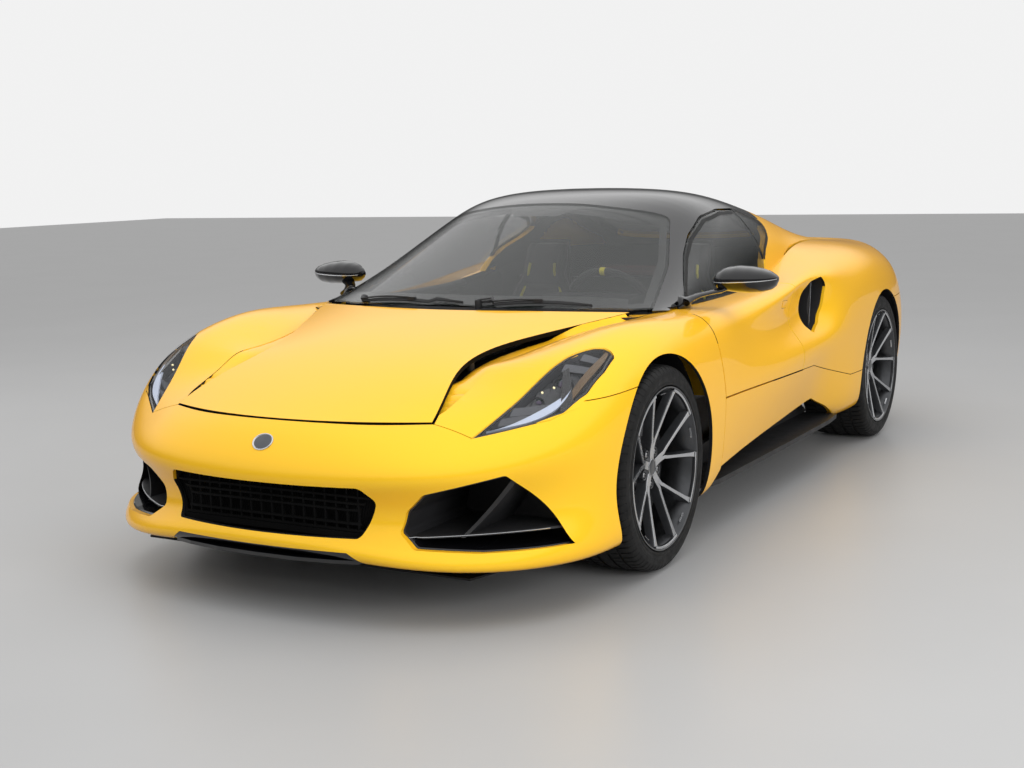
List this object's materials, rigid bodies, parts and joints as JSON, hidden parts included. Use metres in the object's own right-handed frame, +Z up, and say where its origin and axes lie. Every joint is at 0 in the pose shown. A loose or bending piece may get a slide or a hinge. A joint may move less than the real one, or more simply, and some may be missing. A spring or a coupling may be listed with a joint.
{
  "type": "mid-engined coupe car",
  "caption": "Low mid-engined two-seat coupe with a hollow cabin, turning and steered wheels, opening doors, bonnet and tailgate.",
  "frame": {"origin": "on the ground under the middle of the car's bounding box", "axes": "-Y is forwards out of the nose, +X the car's left side, +Z up"},
  "size_m": [2.066, 4.4086, 1.2263],
  "materials": {
    "body_paint": "gloss pearl",
    "gloss_black": "gloss",
    "glass_tinted": "gloss",
    "lamp_inner": "gloss",
    "lamp_lens": "gloss",
    "tail_lens": "gloss",
    "satin_black": "satin",
    "exhaust_steel": "polished",
    "tub_aluminium": "satin",
    "suspension_iron": "satin",
    "steering_leather": "satin",
    "seat_leather": "satin",
    "alloy": "diamond cut over dark paint",
    "tyre_rubber": "matte"
  },
  "bodies": {
    "body": {"front_bumper": "body_paint", "front_fenders": "body_paint", "side_sills": "body_paint", "rear_clam": "body_paint", "rear_bumper": "body_paint", "buttresses": "body_paint", "roof_frame": "gloss_black", "front_splitter": "gloss_black", "sill_blades": "gloss_black", "windscreen": "glass_tinted", "quarter_glass": "glass_tinted", "headlamps": "lamp_inner", "headlamp_lenses": "lamp_lens", "tail_lamps": "tail_lens", "front_grille": "satin_black", "front_ducts": "satin_black", "side_intakes": "satin_black", "rear_diffuser": "satin_black", "undertray": "satin_black", "wheel_liners": "satin_black", "cowl_panel": "satin_black", "wipers": "satin_black", "dashboard": "satin_black", "exhaust_tips": "exhaust_steel", "chassis_tub": "tub_aluminium", "front_suspension": "suspension_iron", "rear_suspension": "suspension_iron", "engine_block": "suspension_iron", "rear_carriers": "suspension_iron", "seat_left": "seat_leather", "seat_right": "seat_leather"},
    "door_left": {"door_left": "body_paint", "door_glass_left": "glass_tinted", "mirror_left": "gloss_black"},
    "door_right": {"door_right": "body_paint", "door_glass_right": "glass_tinted", "mirror_right": "gloss_black"},
    "bonnet": {"bonnet": "body_paint"},
    "tailgate": {"tailgate": "body_paint", "rear_glass": "glass_tinted"},
    "knuckle_left": {"knuckle_left": "suspension_iron"},
    "knuckle_right": {"knuckle_right": "suspension_iron"},
    "wheel_front_left": {"rim_front_left": "alloy", "tyre_front_left": "tyre_rubber"},
    "wheel_front_right": {"rim_front_right": "alloy", "tyre_front_right": "tyre_rubber"},
    "wheel_rear_left": {"rim_rear_left": "alloy", "tyre_rear_left": "tyre_rubber"},
    "wheel_rear_right": {"rim_rear_right": "alloy", "tyre_rear_right": "tyre_rubber"},
    "steering_wheel": {"steering_wheel": "steering_leather"}
  },
  "joints": [
    {"name": "door_left_hinge", "type": "hinge", "parent": "body", "child": "door_left", "pos_m": [0.936, -0.7, 0.6], "axis": [0, 0, -1], "range_deg": [0, 60]},
    {"name": "door_right_hinge", "type": "hinge", "parent": "body", "child": "door_right", "pos_m": [-0.936, -0.7, 0.6], "axis": [0, 0, 1], "range_deg": [0, 60]},
    {"name": "bonnet_hinge", "type": "hinge", "parent": "body", "child": "bonnet", "pos_m": [0, -0.885, 0.8], "axis": [-1, 0, 0], "range_deg": [0, 50]},
    {"name": "tailgate_hinge", "type": "hinge", "parent": "body", "child": "tailgate", "pos_m": [0, 0.48, 1.15], "axis": [1, 0, 0], "range_deg": [0, 60]},
    {"name": "steer_left", "type": "hinge", "parent": "body", "child": "knuckle_left", "pos_m": [0.735, -1.2215, 0.34], "axis": [0, 0, 1], "range_deg": [-33, 33]},
    {"name": "steer_right", "type": "hinge", "parent": "body", "child": "knuckle_right", "pos_m": [-0.735, -1.2215, 0.34], "axis": [0, 0, 1], "range_deg": [-33, 33]},
    {"name": "steering_column", "type": "hinge", "parent": "body", "child": "steering_wheel", "pos_m": [0.345, -0.42, 0.76], "axis": [0, 0.9135, 0.4067], "range_deg": [-450, 450]},
    {"name": "wheel_front_left_spin", "type": "hinge", "parent": "knuckle_left", "child": "wheel_front_left", "pos_m": [0.8, -1.2215, 0.34], "axis": [1, 0, 0], "continuous": true},
    {"name": "wheel_front_right_spin", "type": "hinge", "parent": "knuckle_right", "child": "wheel_front_right", "pos_m": [-0.8, -1.2215, 0.34], "axis": [1, 0, 0], "continuous": true},
    {"name": "wheel_rear_left_spin", "type": "hinge", "parent": "body", "child": "wheel_rear_left", "pos_m": [0.8, 1.3535, 0.3425], "axis": [1, 0, 0], "continuous": true},
    {"name": "wheel_rear_right_spin", "type": "hinge", "parent": "body", "child": "wheel_rear_right", "pos_m": [-0.8, 1.3535, 0.3425], "axis": [1, 0, 0], "continuous": true}
  ],
  "couplings": [
    {"joint": "steer_right", "follows": "steer_left", "ratio": 1},
    {"joint": "steering_column", "follows": "steer_left", "ratio": 13.6}
  ]
}
